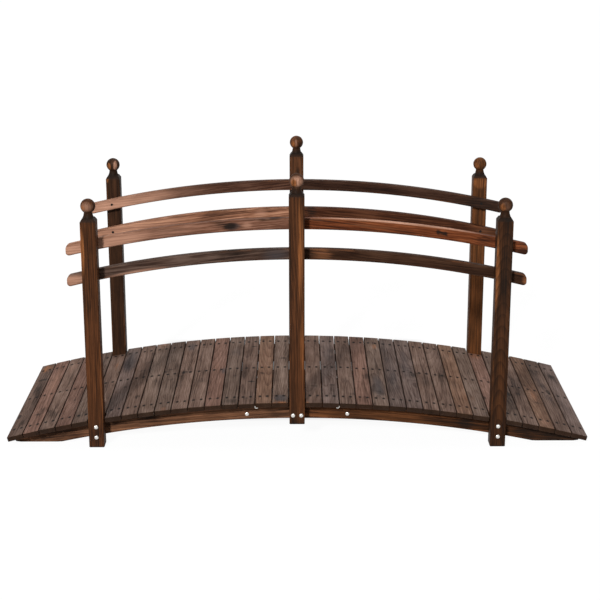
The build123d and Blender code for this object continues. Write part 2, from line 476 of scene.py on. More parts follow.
class Skin:
    """Collects closed lofted shapes as one mesh."""

    def __init__(self):
        self.points = []
        self.faces = []

    def add(self, rings):
        """Skins rings that have the same number of points, and caps both ends."""
        first = len(self.points)
        count = len(rings[0])
        for ring in rings:
            self.points.extend(ring)
        for row in range(len(rings) - 1):
            start = first + row * count
            for column in range(count):
                here = start + column
                beside = start + (column + 1) % count
                self.faces.append((here, beside, beside + count, here + count))
        self.faces.append(tuple(range(first, first + count)))
        self.faces.append(tuple(range(len(self.points) - count, len(self.points))))

    def turn(self, centre, axis, profile, radius, sides, start=0.0):
        """Adds a turned shape round an axis, from a profile of (share of the radius, height)."""
        upright = axis.normalized()
        aside = upright.orthogonal().normalized()
        ahead = upright.cross(aside)
        rings = []
        for share, height in profile:
            ring = []
            for step in range(sides):
                angle = start + 2 * math.pi * step / sides
                across = aside * (radius * share * math.cos(angle))
                ring.append(centre + upright * height + across + ahead * (radius * share * math.sin(angle)))
            rings.append(ring)
        self.add(rings)

    def piece(self, name, material, slot, replaced=()):
        mesh = bpy.data.meshes.new(name)
        mesh.from_pydata(self.points, [], self.faces)
        shell = bmesh.new()
        shell.from_mesh(mesh)
        bmesh.ops.recalc_face_normals(shell, faces=shell.faces)
        shell.to_mesh(mesh)
        shell.free()
        mesh.shade_smooth()
        mesh.materials.append(material)
        made = bpy.data.objects.new(name, mesh)
        bpy.context.scene.collection.objects.link(made)
        smoother = made.modifiers.new("even_shading", "WEIGHTED_NORMAL")
        smoother.keep_sharp = True
        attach(made, "root")
        if replaced:
            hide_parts(*replaced)
        return made


class Timber(Skin):
    """A skin with the layers that the wood's finish reads.

    grain: place along the grain, across it and in depth. seed: where this length lies in the noise.
    pith: the pith's place across and in depth, and its taper. marks: scorch, flare and slate, where one
    scorch is a painted shadow and some flares are painted highlights and a painted reflection.
    tone: tint of this length. wear: 1 on its edges, 1 on its end grain and 0.8 on the long sides of boards,
    which paints the shade in their seams, and how light and pinkish it is, which on one handrail is a painted
    highlight.
    Boards also have nails_across and nails_along, the places of their pairs of nails.
    """

    def __init__(self):
        super().__init__()
        self.layers = {name: [] for name in WOOD_LAYERS}

    def add_length(self, sections, wood):
        self.add([[spot.place for spot in section] for section in sections])
        for section in sections:
            for spot in section:
                self.layers["grain"].append(spot.grain)
                self.layers["seed"].append(wood.seed)
                self.layers["pith"].append(wood.pith)
                *marks, pale = marks_at(spot.site, wood.marks)
                self.layers["marks"].append(marks)
                self.layers["tone"].append(wood.tone)
                self.layers["wear"].append((spot.edge, spot.end, pale))

    def piece(self, name, material, slot, replaced=()):
        made = super().piece(name, material, slot, replaced)
        for layer, values in self.layers.items():
            attribute = made.data.attributes.new(layer, "FLOAT_VECTOR", "POINT")
            attribute.data.foreach_set("vector", [number for value in values for number in value])
        return made


def make_timber(node, kind, sections, wood, material, slot):
    """One length of wood, as the piece that stands for a CAD node."""
    timber = Timber()
    timber.add_length(sections, wood)
    timber.piece(f"{node}_{kind}", material, slot, [node])


# Sides get a point this near each corner, so that wear stays on the edges
CORNER_CLEARANCE = 0.0035


def round_outline(width, height, edge, wide_steps, high_steps, corner_steps=3):
    """Points round a rectangle with rounded corners, anticlockwise from the top of its right side.

    Each is (across, up, how much it is an edge).
    """
    edge = min(edge, width * 0.45, height * 0.45)
    right, top = width / 2 - edge, height / 2 - edge
    corners = ((right, top), (-right, top), (-right, -top), (right, -top))
    points = []
    for quarter, (x, y) in enumerate(corners):
        for step in range(corner_steps + 1):
            angle = (quarter + step / corner_steps) * math.pi / 2
            points.append((x + edge * math.cos(angle), y + edge * math.sin(angle), 1.0))
        start = points[-1]
        next_x, next_y = corners[(quarter + 1) % 4]
        finish = (next_x + edge * math.cos(angle), next_y + edge * math.sin(angle))
        length = math.dist(start[:2], finish)
        shy = min(CORNER_CLEARANCE, length / 3) / length
        steps = high_steps if quarter % 2 else wide_steps
        for step in range(1, steps):
            share = {1: shy, steps - 1: 1 - shy}.get(step, step / steps)
            across, up = (a + (b - a) * share for a, b in zip(start, finish))
            points.append((across, up, 0.0))
    return points


def rounded_ends(length, edge, spacing):
    """Stations along a length with rounded ends, each (place, inset, share of end grain)."""
    steps = max(2, round((length - 2 * edge) / spacing))
    start = [(0.0, edge, 1.0), (edge * 0.29, edge * 0.29, 0.5), (edge, 0.0, 0.0)]
    middle = [(edge + (length - 2 * edge) * step / steps, 0.0, 0.0) for step in range(1, steps)]
    finish = [(length - place, inset, end) for place, inset, end in reversed(start)]
    return start + middle + finish


def wood_of(number, place_mark, pith, tone, *marks):
    """A length of wood with its own seed, so that no two have the same grain."""
    chance = random.Random(number)
    seed = tuple(chance.uniform(-40, 40) for _ in range(3))
    return Wood(seed, pith, tone, [place_mark(*mark) for mark in marks])


# Deck
BOARD_STATION_SPACING = 0.016
# How much the long sides of a board are stained and charred as end grain is, which paints the shade in the
# seams between boards
SIDE_SOAK_AND_SEAM_SHADE = 0.8
TONES = {
    "plain": (1.05, 1.03, 1.03),
    "pink": (1.15, 1.00, 0.98),
    "grey": (0.93, 0.96, 0.97),
    "blue": (0.80, 0.85, 0.94),
    "dark": (0.72, 0.70, 0.70),
    "warm": (1.16, 1.02, 0.88),
}


class Board:
    """A board of the deck, flat and square to the arc."""

    def __init__(self, index):
        self.length = size_of(BOARD_NODES[index]).y
        angle = index * BOARD_ANGLE
        self.outward = Vector((math.sin(angle), 0, math.cos(angle)))
        self.across = Vector((math.cos(angle), 0, -math.sin(angle)))
        self.top = Vector((0, 0, ARC_CENTRE)) + self.outward * DECK_RADIUS
        chance = random.Random(500 + index)
        self.nails_across = [chance.uniform(-0.002, 0.002) for _ in STRINGER_ROWS]
        self.nails_along = [row + chance.uniform(-0.003, 0.003) for row in STRINGER_ROWS.values()]
        self.trims = [chance.uniform(0, 1), chance.uniform(0, 1)]
        self.twist = chance.uniform(-0.0011, 0.0011) if abs(index) < LAST_BOARD else 0.0
        self.sink = chance.uniform(0, 0.0006)
        self.pith = (
            chance.uniform(-0.06, 0.06),
            chance.choice((-1, 1)) * chance.uniform(0.03, 0.09),
            chance.uniform(-0.06, 0.06),
        )

    def place(self, across, along, up):
        return (
            self.top
            + self.across * (across + self.twist * along)
            + Vector((0, along, 0))
            + self.outward * (up - self.sink)
        )

    def nails(self, spread):
        for across, along in zip(self.nails_across, self.nails_along):
            for side in SIDES.values():
                yield across + side * spread / 2, along


def lay_board(deck, index, sizes):
    board = Board(index)
    start = sizes.board_trim * board.trims[0] - board.length / 2
    length = board.length - sizes.board_trim * sum(board.trims)
    sections = []
    for place, inset, end in rounded_ends(length, sizes.board_edge, BOARD_STATION_SPACING):
        outline = round_outline(
            BOARD_WIDTH - 2 * inset, BOARD_THICKNESS - 2 * inset, sizes.board_edge - inset * 0.8, 6, 3, 2
        )
        section = []
        for across, up, edge in outline:
            grain = (start + place, across, up)
            lies = board.place(across, start + place, up - BOARD_THICKNESS / 2)
            on_side = abs(across) > BOARD_WIDTH / 2 - inset - 0.0006
            section.append(Spot(lies, grain, grain, edge, max(end, SIDE_SOAK_AND_SEAM_SHADE) if on_side else end))
        sections.append(section)
    marks = [*BOARD_MARKS.get(index, ()), *smudges(index)]
    deck.add_length(sections, wood_of(100 + index, board_mark, board.pith, board_tone(index), *marks))
    for layer in NAIL_LAYERS:
        values = [getattr(board, layer)] * (len(sections) * len(sections[0]))
        deck.layers.setdefault(layer, []).extend(values)


class MOONBRIDGE_OT_deck(bpy.types.Operator):
    """Lays the boards of the deck in the groups of the CAD nodes"""

    bl_idname = "moon_bridge.lay_deck"
    bl_label = "Lay deck"

    def execute(self, context):
        sizes = context.scene.moon_bridge_timber
        spread = context.scene.moon_bridge_fixings.nail_spread
        material = wood_material("scorched_boards", "deck", context.scene.moon_bridge_wood, spread)
        for node, indices in DECK_GROUPS.items():
            deck = Timber()
            for index in indices:
                lay_board(deck, index, sizes)
            deck.piece(f"{node}_planks", material, "deck_boards", [node])
        return {"FINISHED"}


def board_tone(index):
    shade = random.Random(900 + index).uniform(0.88, 1.12)
    return tuple(channel * shade for channel in TONES[BOARD_TONES[index + LAST_BOARD]])


def board_mark(kind, along, across, reach, width, strength):
    half = BOARD_WIDTH / 2
    return Mark(kind, (along, across * half, BOARD_THICKNESS / 2), (reach, width * half, 0.04), strength)


def smudges(index):
    """A few small marks at random, as rows of BOARD_MARKS."""
    chance = random.Random(1300 + index)
    return [
        ("scorch", chance.uniform(-0.4, 0.4), chance.uniform(-1, 1), chance.uniform(0.006, 0.03),
         chance.uniform(0.3, 0.9), chance.uniform(0.3, 0.75))
        for _ in range(4)
    ]


# From the left end to the right one
BOARD_TONES = """
dark pink plain pink grey plain blue plain grey grey plain plain pink grey plain warm grey plain
plain blue plain pink grey blue blue plain plain warm grey pink grey plain warm dark blue
""".split()
# Kind, place along the board, place across it as a share of half its width, reach along it,
# reach across it as a share of half its width, strength
BOARD_MARKS = {
    -17: [("scorch", 0.11, 0.0, 0.13, 0.9, 0.7), ("scorch", -0.30, 0.3, 0.08, 0.9, 0.5),
          ("flare", 0.37, 0, 0.07, 1.2, 0.7)],
    -16: [("pale", 0.14, 0.2, 0.24, 1.0, 0.40), ("scorch", -0.20, 0.2, 0.08, 0.8, 0.6)],
    -15: [("pale", 0.30, 0.0, 0.13, 1.0, 0.35), ("scorch", -0.28, 0.1, 0.09, 0.9, 0.5)],
    -13: [("scorch", -0.33, 0.0, 0.07, 1.2, 0.5)],
    -12: [("flare", 0.21, 0.3, 0.10, 0.5, 0.6)],
    -11: [("slate", 0.25, 0.0, 0.22, 1.3, 0.9), ("scorch", 0.22, -0.1, 0.17, 1.0, 0.45)],
    -10: [("scorch", -0.23, 0.4, 0.035, 0.6, 0.9), ("scorch", 0.30, -0.4, 0.05, 0.6, 0.5)],
    -9: [("pale", 0.40, 0.0, 0.05, 1.0, 0.45), ("scorch", -0.05, 0.2, 0.10, 1.0, 0.45)],
    -8: [("flare", -0.41, 0.0, 0.035, 1.2, 0.5), ("scorch", 0.18, 0.0, 0.05, 1.2, 0.5)],
    -7: [("slate", 0.34, 0.0, 0.10, 1.2, 0.8), ("scorch", 0.02, 0.3, 0.06, 1.0, 0.5)],
    -6: [("scorch", -0.12, 0.2, 0.06, 1.0, 0.6)],
    -5: [("scorch", 0.24, 0.1, 0.012, 0.6, 0.9), ("pale", 0.05, -0.2, 0.12, 0.7, 0.35),
         ("slate", -0.02, 0.7, 0.06, 0.5, 1.0)],
    -4: [("scorch", -0.38, 0.0, 0.05, 1.2, 0.8), ("slate", 0.20, 0.0, 0.12, 1.2, 0.5)],
    -3: [("scorch", 0.28, 0.5, 0.010, 0.6, 1.0), ("scorch", 0.05, 0.5, 0.010, 0.6, 1.0),
         ("scorch", -0.17, 0.4, 0.010, 0.7, 1.0)],
    -2: [("pale", 0.10, 0.0, 0.30, 1.0, 0.25)],
    -1: [("scorch", 0.11, 0.1, 0.022, 0.8, 0.7), ("slate", -0.37, 0.1, 0.05, 1.2, 1.0),
         ("flare", -0.425, 0.0, 0.03, 1.4, 0.9)],
    1: [("scorch", -0.23, 0.0, 0.009, 1.0, 0.9), ("flare", -0.425, -0.7, 0.03, 0.5, 0.6)],
    2: [("slate", 0.20, 0.0, 0.26, 1.3, 0.55)],
    3: [("scorch", -0.15, 0.2, 0.05, 1.0, 0.5)],
    4: [("pale", -0.05, 0.0, 0.30, 0.9, 0.25)],
    5: [("flare", 0.30, 0.3, 0.05, 0.6, 0.7), ("slate", -0.22, 0.0, 0.24, 1.2, 0.75)],
    6: [("slate", -0.05, 0.0, 0.36, 1.3, 0.6), ("scorch", -0.10, -0.2, 0.10, 1.0, 0.4)],
    7: [("slate", 0.05, 0.0, 0.34, 1.3, 0.6)],
    8: [("scorch", 0.20, 0.2, 0.06, 1.0, 0.45)],
    10: [("flare", -0.22, 0.6, 0.11, 0.4, 0.55), ("flare", 0.29, 0.2, 0.10, 0.25, 0.5)],
    11: [("flare", -0.24, -0.5, 0.09, 0.4, 0.5), ("scorch", 0.10, 0.2, 0.09, 1.0, 0.5)],
    # The flare towards the back of board 12 is a painted reflection of the back right post's foot
    12: [("flare", 0.33, 0.0, 0.07, 1.2, 0.55)],
    13: [("scorch", -0.15, 0.1, 0.10, 1.1, 0.55)],
    14: [("pale", 0.37, 0.2, 0.06, 1.0, 0.45), ("scorch", 0.05, 0.1, 0.12, 1.0, 0.5)],
    15: [("flare", -0.06, 0.0, 0.12, 0.6, 0.6), ("pale", -0.37, 0.0, 0.05, 1.0, 0.4)],
    16: [("slate", 0.05, 0.0, 0.40, 1.3, 0.5), ("scorch", 0.15, 0.0, 0.20, 1.2, 0.5)],
    17: [("slate", -0.05, 0.0, 0.42, 1.3, 0.5), ("scorch", 0.25, 0.0, 0.12, 1.2, 0.5)],
}


# Each turned fixing is a profile of (share of its radius, height in metres)
NAIL_PROFILE = ((0.5, -0.002), (0.9, -0.001), (1.0, 0.0001), (0.93, 0.0004), (0.5, 0.0003))


class MOONBRIDGE_OT_nails(bpy.types.Operator):
    """Drives the nails that hold the boards to the stringers"""

    bl_idname = "moon_bridge.drive_nails"
    bl_label = "Drive nails"

    def execute(self, context):
        fixings = context.scene.moon_bridge_fixings
        radius = fixings.nail_head / 2
        material = metal_material("dark_nails", (0.008, 0.006, 0.005), 0.1, 0.8, 0.4, 0.1)
        nails = Skin()
        for index in BOARD_NODES:
            board = Board(index)
            for across, along in board.nails(fixings.nail_spread):
                if abs(along) + radius < board.length / 2:
                    nails.turn(board.place(across, along, 0.0), board.outward, NAIL_PROFILE, radius, 10)
        nails.piece("deck_nails", material, "bolts")
        return {"FINISHED"}


# Stringers, splice plates and handrails: bars cut to an arc from straight-grained boards
BAR_STATION_SPACING = 0.018


def on_radial(angle, radius, floor=None):
    """The point (x, z) at this angle and radius, or where that radial line comes down to the floor."""
    x = radius * math.sin(angle)
    z = ARC_CENTRE + radius * math.cos(angle)
    if floor is not None and z < floor:
        return (floor - ARC_CENTRE) * math.tan(angle), floor
    return x, z


def bar_sections(stations, y, thickness, edge):
    """Sections of a bar across y. Each station is (low, high, inset, end), with low and high as (x, z)."""
    first_low, first_high = stations[0][:2]
    last_low, last_high = stations[-1][:2]
    start = (Vector(first_low) + Vector(first_high)) / 2
    finish = (Vector(last_low) + Vector(last_high)) / 2
    middle = (start + finish) / 2
    along = (finish - start).normalized()
    square = Vector((-along.y, along.x)) * math.copysign(1, along.x)
    sections = []
    for low, high, inset, end in stations:
        low, high = Vector(low), Vector(high)
        height = (high - low).length
        upward = (high - low) / height
        outline = round_outline(thickness - 2 * inset, height - 2 * inset, edge - inset * 0.8, 4, 7, 2)
        section = []
        for aside, up, worn in outline:
            point = (low + high) / 2 + upward * up
            offset = point - middle
            grain = (offset.dot(along), offset.dot(square), aside)
            site = (abs(point.x), up, aside)
            section.append(Spot(Vector((point.x, y + aside, point.y)), grain, site, worn, end))
        sections.append(section)
    return sections


def arc_stations(near, far, low_radius, high_radius, edge, floor=None, toe=0.0):
    """Stations from one angle to another, with rounded ends."""
    length = abs(far - near) * high_radius
    turn = (far - near) / length
    stations = []
    for place, inset, end in rounded_ends(length, edge, BAR_STATION_SPACING):
        angle = near + turn * place
        low, high = on_radial(angle, low_radius, floor), on_radial(angle, high_radius)
        if toe and place > length - toe:
            low = (low[0], low[1] + toe - (length - place))
        stations.append((low, high, inset, end))
    return stations


class MOONBRIDGE_OT_stringers(bpy.types.Operator):
    """Saws the six halves of the stringers and the plates that splice them"""

    bl_idname = "moon_bridge.saw_stringers"
    bl_label = "Saw stringers"

    def execute(self, context):
        sizes = context.scene.moon_bridge_timber
        material = wood_material("stained_frame", "frame", context.scene.moon_bridge_wood)
        low_radius = STRINGER_TOP_RADIUS - sizes.stringer_depth
        deck_half = math.asin(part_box("boards_right_end")[1].x / DECK_RADIUS)
        far = deck_half - sizes.stringer_end_inset / DECK_RADIUS
        near = JOINT_GAP / 2 / STRINGER_TOP_RADIUS
        for number, (node, look) in enumerate(STRINGER_LOOKS.items(), 20):
            _, row, hand = node.split("_")
            stations = arc_stations(
                SIDES[hand] * near, SIDES[hand] * far, low_radius, STRINGER_TOP_RADIUS,
                sizes.frame_edge, floor=0.0, toe=sizes.stringer_toe,
            )
            sections = bar_sections(stations, STRINGER_ROWS[row], STRINGER_THICKNESS, sizes.frame_edge)
            make_timber(node, "timber", sections, wood_of(number, bar_mark, *look), material, "frame_timber")

        middle = STRINGER_TOP_RADIUS - sizes.stringer_depth / 2
        reach = sizes.splice_length / 2 / middle
        half_depth = sizes.splice_depth / 2
        stations = arc_stations(-reach, reach, middle - half_depth, middle + half_depth, sizes.frame_edge)
        for number, row in enumerate(STRINGER_ROWS, 40):
            node = f"splice_{row}"
            sections = bar_sections(stations, middle_of(node).y, SPLICE_THICKNESS, sizes.frame_edge)
            wood = wood_of(number, bar_mark, (0.05, 0.03, 0.02), (0.9, 0.9, 0.9))
            make_timber(node, "plate", sections, wood, material, "frame_timber")
        return {"FINISHED"}


class MOONBRIDGE_OT_handrails(bpy.types.Operator):
    """Saws the eight halves of the handrails, with rounded edges and ends"""

    bl_idname = "moon_bridge.saw_handrails"
    bl_label = "Saw handrails"

    def execute(self, context):
        sizes = context.scene.moon_bridge_timber
        material = wood_material("stained_handrails", "rail", context.scene.moon_bridge_wood)
        for number, (node, look) in enumerate(RAIL_LOOKS.items(), 60):
            _, face, _, hand = node.split("_")
            stations = rail_stations(node, SIDES[hand], sizes)
            sections = bar_sections(stations, FACES[face] * RAIL_LINE, RAIL_THICKNESS, sizes.rail_edge)
            make_timber(node, "timber", sections, wood_of(number, bar_mark, *look), material, "handrails")
        return {"FINISHED"}


RAIL_STEPS = 84
# Shares of the quarter turn at which the rounded end has a station
RAIL_END_TURNS = (0.2, 0.4, 0.6, 0.75, 0.88)


def rail_arc(node, sizes):
    """Height of the handrail's crown and radius of its top, which shares its centre with the upper one."""
    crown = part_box(node)[1].z
    return crown, sizes.rail_radius - (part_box("rail_front_upper_right")[1].z - crown)


def rail_stations(node, side, sizes):
    """Upright stations from the joint at the middle post out to the rounded end."""
    crown, top_radius = rail_arc(node, sizes)
    centre = crown - math.sqrt(top_radius**2 - (JOINT_GAP / 2) ** 2)
    near, far = JOINT_GAP / 2, RAIL_REACH
    round_end = sizes.rail_end_radius
    soft = sizes.rail_edge * 0.5
    places = [(near, soft * 0.6, 1.0), (near + soft * 0.6, 0.0, 0.0)]
    for step in range(1, RAIL_STEPS + 1):
        places.append((near + (far - round_end - near) * step / RAIL_STEPS, 0.0, 0.0))
    for turn in RAIL_END_TURNS:
        places.append((far - round_end * (1 - math.sin(turn * math.pi / 2)), 0.0, turn**4 * 0.4))
    places.append((far - soft * 0.3, soft * 0.3, 0.7))
    places.append((far, soft, 1.0))
    stations = []
    for x, inset, end in places:
        beyond = max(0.0, x - (far - round_end))
        drawn_in = round_end - math.sqrt(max(0.0, round_end**2 - beyond**2))
        high = centre + math.sqrt(top_radius**2 - x**2) - drawn_in
        low = centre + math.sqrt((top_radius - sizes.rail_height) ** 2 - x**2) + drawn_in
        stations.append(((side * x, low), (side * x, high), inset, end))
    return stations


def bar_mark(kind, start, finish, up, reach, strength):
    """A mark on a bar's front, from and to these distances from mid span, at this height on the bar."""
    return Mark(kind, ((start + finish) / 2, up, -0.015), ((finish - start) / 2, reach, 0.06), strength)


# Looks of each length: the pith, the tone, and marks in the order of bar_mark's values
RAIL_LOOKS = {
    "rail_front_upper_left": (
        (0.05, -0.05, 0.01), (0.88, 0.86, 0.88),
        ("pale", 0.55, 1.20, 0.0, 0.08, 1.0), ("pale", 0.30, 0.75, 0.0, 0.03, 0.45),
        ("scorch", 0.205, 0.285, -0.005, 0.022, 0.72), ("scorch", 0.22, 0.36, 0.006, 0.024, 0.60),
        ("slate", 0.20, 0.29, -0.002, 0.020, 0.9),
        ("pale", 0.16, 0.22, 0.0, 0.020, 0.6), ("scorch", 0.02, 0.20, 0.022, 0.014, 0.6),
    ),
    "rail_front_upper_right": (
        (-0.05, -0.06, 0.02), (0.65, 0.385, 0.220),
        ("flare", 0.10, 0.50, 0.0, 0.014, 0.35), ("scorch", 0.530, 0.556, 0.006, 0.012, 1.1),
        ("scorch", 0.556, 0.582, 0.002, 0.010, 1.1), ("scorch", 0.49, 0.62, 0.0, 0.02, 0.45),
        # The pale mark along the top edge, at 0.026 up, is a painted highlight
        ("pale", -0.10, 0.85, 0.026, 0.0065, 2.2), ("scorch", 0.66, 0.78, 0.0, 0.04, 0.6),
        # The scorch from 0.82 to 0.95 is the painted shadow that the front right post casts on this end
        ("scorch", 0.82, 0.95, 0.0, 0.05, 0.85), ("flare", 0.945, 0.975, 0.0, 0.04, 0.45),
    ),
    "rail_front_lower_left": (
        (0.04, -0.06, 0.015), (0.31, 0.38, 0.45),
        ("pale", 0.78, 1.00, -0.006, 0.04, 1.05), ("pale", 0.45, 0.80, -0.018, 0.012, 0.7),
        ("scorch", 0.10, 0.42, 0.010, 0.030, 0.55), ("slate", 0.0, 0.16, 0.0, 0.05, 0.7),
    ),
    "rail_front_lower_right": (
        (0.05, -0.05, -0.01), (0.17, 0.155, 0.13),
        ("flare", 0.03, 0.16, 0.0, 0.03, 0.5), ("flare", 0.86, 0.93, 0.0, 0.04, 0.6),
    ),
    "rail_back_upper_left": (
        (-0.04, -0.06, 0.01), (0.36, 0.34, 0.34),
        ("pale", 0.50, 1.25, 0.0, 0.08, 1.0), ("pale", 0.30, 0.70, 0.0, 0.04, 0.4),
    ),
    "rail_back_upper_right": (
        (0.05, -0.05, 0.012), (0.17, 0.16, 0.155), ("scorch", 0.65, 0.98, 0.0, 0.05, 0.7),
    ),
    "rail_back_lower_left": (
        (0.05, -0.06, 0.012), (1.4, 1.4, 1.35),
        ("pale", 0.40, 1.10, 0.0, 0.06, 0.6), ("pale", 0.11, 0.20, 0.0, 0.03, 0.6),
    ),
    "rail_back_lower_right": (
        (0.05, -0.05, 0.01), (0.29, 0.21, 0.155),
        ("scorch", 0.03, 0.10, 0.0, 0.04, 0.8), ("flare", 0.70, 0.93, 0.0, 0.04, 0.4),
    ),
}


STRINGER_LOOKS = {
    "stringer_front_left": (
        (0.06, 0.05, 0.02), (1.22, 1.32, 1.5),
        ("scorch", 0.48, 0.72, 0.022, 0.026, 0.8), ("scorch", 0.80, 1.18, 0.015, 0.07, 0.75),
        ("flare", 0.05, 0.45, -0.012, 0.016, 0.35),
    ),
    "stringer_front_right": (
        (-0.05, 0.06, -0.015), (0.76, 0.68, 0.56),
        ("flare", 0.10, 0.60, -0.014, 0.016, 0.4), ("scorch", 0.62, 0.72, 0.0, 0.04, 0.6),
        ("scorch", 0.76, 1.24, 0.0, 0.08, 1.0),
    ),
    "stringer_centre_left": ((0.04, -0.05, 0.01), (0.85, 0.85, 0.85)),
    "stringer_centre_right": ((0.05, 0.05, 0.02), (0.85, 0.85, 0.85)),
    "stringer_back_left": ((-0.05, -0.06, 0.02), (0.95, 0.95, 0.95)),
    "stringer_back_right": ((0.05, 0.05, -0.02), (1.0, 1.0, 1.0)),
}


# Posts
class MOONBRIDGE_OT_posts(bpy.types.Operator):
    """Turns the six posts, square below and with a ball on a neck at the top"""

    bl_idname = "moon_bridge.turn_posts"
    bl_label = "Turn posts"

    def execute(self, context):
        sizes = context.scene.moon_bridge_timber
        material = wood_material("stained_posts", "post", context.scene.moon_bridge_wood)
        for number, (node, look) in enumerate(POST_LOOKS.items(), 80):
            sections = post_sections(node, sizes)
            make_timber(node, "timber", sections, wood_of(number, post_mark, *look), material, "posts")
        return {"FINISHED"}


SHOULDER_HEIGHT = 0.012
SHOULDER_INSET = 0.0075
FINIAL_HEIGHT = 0.074
BALL_RADIUS = 0.0285
NECK_RADIUS = 0.0163
NECK_BASE_RADIUS = 0.022
NECK_HOLLOW = 0.0012
SHAFT_STATION_SPACING = 0.012
NECK_STEPS = 8
BALL_STEPS = 20
# Steps along the sides of a post's outline, which are four alike, and round each corner
POST_OUTLINE = (6, 6, 3)
# Necks that the flame left browner than the others
NECK_DARKNESS = {"post_front_right": 0.45, "post_front_middle": 0.75}


def post_sections(node, sizes):
    low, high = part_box(node)
    middle = (low + high) / 2
    half = POST_WIDTH / 2
    shoulder_top = high.z - FINIAL_HEIGHT
    shaft_top = shoulder_top - SHOULDER_HEIGHT

    def spot(x, y, z, edge, end):
        place = Vector((middle.x + x, middle.y + y, z))
        return Spot(place, (z - middle.z, x, y), (z - low.z, x, y), edge, end)

    # Each square is (height, half its width, share of end grain)
    squares = [(low.z, half - 0.0015, 1.0), (low.z + 0.0015, half, 0.4), (low.z + 0.006, half, 0.0)]
    steps = round((shaft_top - low.z) / SHAFT_STATION_SPACING)
    for step in range(1, steps):
        squares.append((low.z + (shaft_top - low.z) * step / steps, half, 0.0))
    squares += [
        (shaft_top - 0.001, half, 0.15),
        (shaft_top + 0.0006, half - 0.0006, 0.6),
        (shoulder_top - 0.0012, half - SHOULDER_INSET + 0.0006, 0.9),
        (shoulder_top, half - SHOULDER_INSET - 0.0004, 1.0),
    ]
    sections = []
    for z, reach, end in squares:
        outline = round_outline(2 * reach, 2 * reach, sizes.post_edge, *POST_OUTLINE)
        sections.append([spot(x, y, z, edge, end) for x, y, edge in outline])

    # The outline's first corner lies one eighth of the way round
    count = len(sections[0])
    turns = [math.pi / 4 + 2 * math.pi * (step - POST_OUTLINE[2] / 2) / count for step in range(count)]
    darkness = NECK_DARKNESS.get(node, 1.0)
    for radius, height, end in finial_profile():
        sections.append([
            spot(radius * math.cos(turn), radius * math.sin(turn), shoulder_top + height, 0.0, end * darkness)
            for turn in turns
        ])
    return sections


def finial_profile():
    """(radius, height, how dark) from the foot of the neck to the top of the ball."""
    ball_centre = FINIAL_HEIGHT - BALL_RADIUS
    neck_angle = math.acos(NECK_RADIUS / BALL_RADIUS)
    neck_height = ball_centre - BALL_RADIUS * math.sin(neck_angle)
    profile = []
    for step in range(NECK_STEPS + 1):
        share = step / NECK_STEPS
        radius = NECK_BASE_RADIUS + (NECK_RADIUS - NECK_BASE_RADIUS) * share
        hollow = NECK_HOLLOW * math.sin(math.pi * share)
        profile.append((radius - hollow, neck_height * share, 1.0 - 0.6 * share))
    for step in range(1, BALL_STEPS):
        angle = -neck_angle + (math.pi / 2 + neck_angle) * step / (BALL_STEPS - 0.4)
        fade = max(0.0, 0.4 - 0.1 * step)
        profile.append((BALL_RADIUS * math.cos(angle), ball_centre + BALL_RADIUS * math.sin(angle), fade))
    profile.append((0.0006, FINIAL_HEIGHT, 0.2))
    return profile


def post_mark(kind, start, finish, x, reach, strength):
    """A mark on a post's front, from and to these heights above its foot, at x off its middle."""
    depth = -POST_WIDTH / 2
    return Mark(kind, ((start + finish) / 2, x, depth), ((finish - start) / 2, reach, 0.03), strength)


